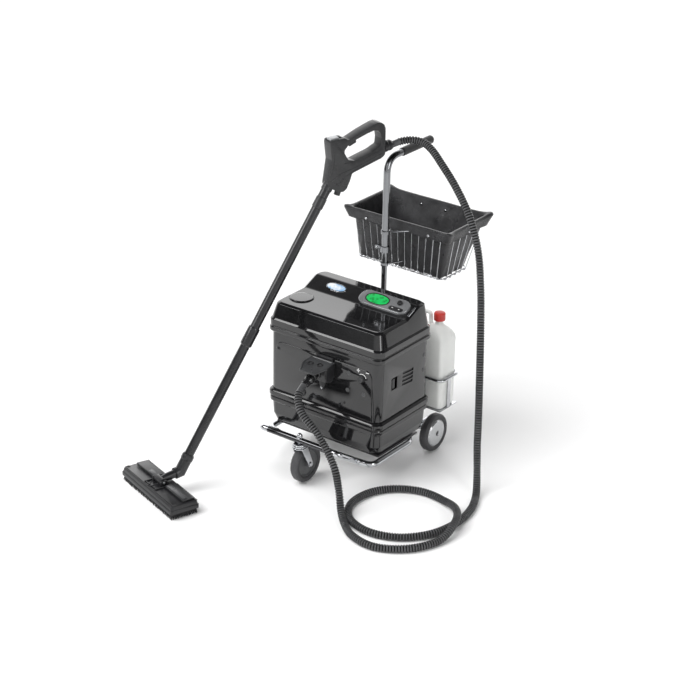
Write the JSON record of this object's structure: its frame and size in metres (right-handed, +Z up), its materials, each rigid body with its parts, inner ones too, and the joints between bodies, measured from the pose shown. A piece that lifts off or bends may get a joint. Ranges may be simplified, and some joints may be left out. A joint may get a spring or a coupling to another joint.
{
  "type": "steam cleaner",
  "caption": "Wheeled commercial steam cleaner with housing, push post, accessory basket, detergent bottle, steam hose, gun, wand and wide floor tool.",
  "frame": {"origin": "on the floor under the middle of the object's footprint, steam hose and its end fittings left out", "axes": "+Z up, the housing's front faces -Y and its right-hand side +X"},
  "size_m": [1.0117, 1.1576, 1.0775],
  "materials": {
    "black_gloss": "polished moulded",
    "black_satin": "satin moulded",
    "grey_satin": "satin tube",
    "silver": "satin silver paint",
    "wheel_cap": "silver paint",
    "chrome": "plated",
    "steel": "brushed",
    "brass": "machined",
    "tyre": "matte rubber",
    "hub_grey": "moulded",
    "rubber_grip": "matte",
    "vinyl": "coated fabric",
    "bottle": "translucent white",
    "red_cap": "moulded",
    "display": "glossy window",
    "board": "lacquered",
    "tank": "moulded",
    "bristle": "bristle field",
    "hose": "corrugated"
  },
  "bodies": {
    "machine": {"front_bar": "chrome", "rail_left": "chrome", "rail_right": "chrome", "cross_tube": "chrome", "deck_plate": "steel", "rear_axle": "steel", "caster_stem": "chrome", "post_lower": "chrome", "push_post": "chrome", "post_clamp": "chrome", "handle_grip": "rubber_grip", "basket_hanger": "chrome", "basket_rest": "chrome", "bottle_ring": "chrome", "bottle_arm": "chrome", "lower_shell": "black_gloss", "mid_housing": "black_gloss", "hood": "black_gloss", "front_panel": "black_gloss", "socket_housing": "black_satin", "hose_plug": "black_gloss", "control_pod": "silver", "display_window": "display", "cord_gland": "black_satin", "boiler": "steel", "safety_valve": "brass", "water_tank": "tank", "pump": "black_satin", "control_board": "board", "wand_lower": "grey_satin", "wand_upper": "grey_satin", "gun_body": "black_satin", "hose_collar": "black_satin", "tool_elbow": "black_satin", "steam_hose": "hose"},
    "rear_wheel_left": {"rear_tyre_left": "tyre", "rear_hub_left": "wheel_cap"},
    "rear_wheel_right": {"rear_tyre_right": "tyre", "rear_hub_right": "wheel_cap"},
    "caster_swivel_body": {"caster_fork": "chrome"},
    "caster_wheel": {"caster_tyre": "tyre", "caster_hub": "hub_grey"},
    "basket": {"basket_wire": "chrome", "basket_liner": "vinyl"},
    "bottle_body": {"bottle": "bottle"},
    "bottle_cap_body": {"bottle_cap": "red_cap"},
    "filler_cap_body": {"filler_cap": "black_gloss"},
    "knob_body": {"mode_knob": "black_satin"},
    "rocker_body": {"rocker_switch": "black_satin"},
    "dial_body": {"steam_dial": "black_satin"},
    "flap_body": {"socket_flap": "black_satin"},
    "trigger_body": {"gun_trigger": "black_satin"},
    "lock_body": {"gun_lock": "silver"},
    "latch_body": {"wand_latch": "black_satin"},
    "neck_body": {"tool_neck": "black_satin"},
    "head_body": {"tool_head": "black_satin", "tool_bristles": "bristle"},
    "clamp_left_body": {"cloth_clamp_left": "black_satin"},
    "clamp_right_body": {"cloth_clamp_right": "black_satin"}
  },
  "joints": [
    {"name": "rear_wheel_left_spin", "type": "hinge", "parent": "machine", "child": "rear_wheel_left", "pos_m": [-0.0887, 0.29696, 0.06276], "axis": [1, 0, 0], "continuous": true},
    {"name": "rear_wheel_right_spin", "type": "hinge", "parent": "machine", "child": "rear_wheel_right", "pos_m": [0.3023, 0.29696, 0.06276], "axis": [1, 0, 0], "continuous": true},
    {"name": "caster_swivel", "type": "hinge", "parent": "machine", "child": "caster_swivel_body", "pos_m": [0.1068, -0.15404, 0.14], "axis": [0, 0, 1], "continuous": true},
    {"name": "caster_roll", "type": "hinge", "parent": "caster_swivel_body", "child": "caster_wheel", "pos_m": [0.1068, -0.12304, 0.06276], "axis": [1, 0, 0], "continuous": true},
    {"name": "basket_lift", "type": "slide", "parent": "machine", "child": "basket", "axis": [0, 0, 1], "range_m": [0, 0.12]},
    {"name": "bottle_lift", "type": "slide", "parent": "machine", "child": "bottle_body", "axis": [0, 0, 1], "range_m": [0, 0.1]},
    {"name": "bottle_cap_turn", "type": "hinge", "parent": "bottle_body", "child": "bottle_cap_body", "pos_m": [0.2918, 0.32196, 0.455], "axis": [0, 0, 1], "continuous": true},
    {"name": "filler_cap_lift", "type": "slide", "parent": "machine", "child": "filler_cap_body", "axis": [0, 0, 1], "range_m": [0, 0.03]},
    {"name": "mode_knob_turn", "type": "hinge", "parent": "machine", "child": "knob_body", "pos_m": [0.2528, 0.15558, 0.54913], "axis": [0, -0.3976, 0.9176], "range_deg": [-135, 135]},
    {"name": "rocker_tilt", "type": "hinge", "parent": "machine", "child": "rocker_body", "pos_m": [0.2528, 0.13258, 0.53917], "axis": [0, 0.9176, 0.3976], "range_deg": [-6, 6]},
    {"name": "steam_dial_turn", "type": "hinge", "parent": "machine", "child": "dial_body", "pos_m": [0.2578, -0.03804, 0.367], "axis": [0, -1, 0], "range_deg": [-135, 135]},
    {"name": "socket_flap_open", "type": "hinge", "parent": "machine", "child": "flap_body", "pos_m": [0.1178, -0.05604, 0.396], "axis": [-1, 0, 0], "range_deg": [0, 65], "stiffness_Nm_per_rad": 0.01, "springref_deg": -17.19},
    {"name": "gun_trigger_pull", "type": "hinge", "parent": "machine", "child": "trigger_body", "pos_m": [0.04854, 0.17835, 1.038], "axis": [-0.9455, 0.3256, 0], "range_deg": [0, 8], "stiffness_Nm_per_rad": 0.05, "springref_deg": -5.73},
    {"name": "gun_lock_slide", "type": "slide", "parent": "machine", "child": "lock_body", "axis": [0.3256, 0.9455, 0], "range_m": [0, 0.01]},
    {"name": "wand_latch_press", "type": "hinge", "parent": "machine", "child": "latch_body", "pos_m": [0.02982, 0.12398, 0.875], "axis": [-0.9455, 0.3256, 0], "range_deg": [0, 6], "stiffness_Nm_per_rad": 0.05, "springref_deg": -5.73},
    {"name": "tool_neck_swivel", "type": "hinge", "parent": "machine", "child": "neck_body", "pos_m": [-0.16227, -0.43388, 0.0625], "axis": [0.3231, 0.9382, 0.124], "range_deg": [-40, 40]},
    {"name": "tool_head_tilt", "type": "hinge", "parent": "neck_body", "child": "head_body", "pos_m": [-0.1792, -0.48304, 0.056], "axis": [-0.9455, 0.3256, 0], "range_deg": [0, 80]},
    {"name": "cloth_clamp_left_open", "type": "hinge", "parent": "head_body", "child": "clamp_left_body", "pos_m": [-0.1792, -0.48304, 0.049], "axis": [0.9455, -0.3256, 0], "range_deg": [0, 35], "stiffness_Nm_per_rad": 0.2, "springref_deg": -11.46},
    {"name": "cloth_clamp_right_open", "type": "hinge", "parent": "head_body", "child": "clamp_right_body", "pos_m": [-0.1792, -0.48304, 0.049], "axis": [0.9455, -0.3256, 0], "range_deg": [0, 35], "stiffness_Nm_per_rad": 0.2, "springref_deg": -11.46}
  ]
}
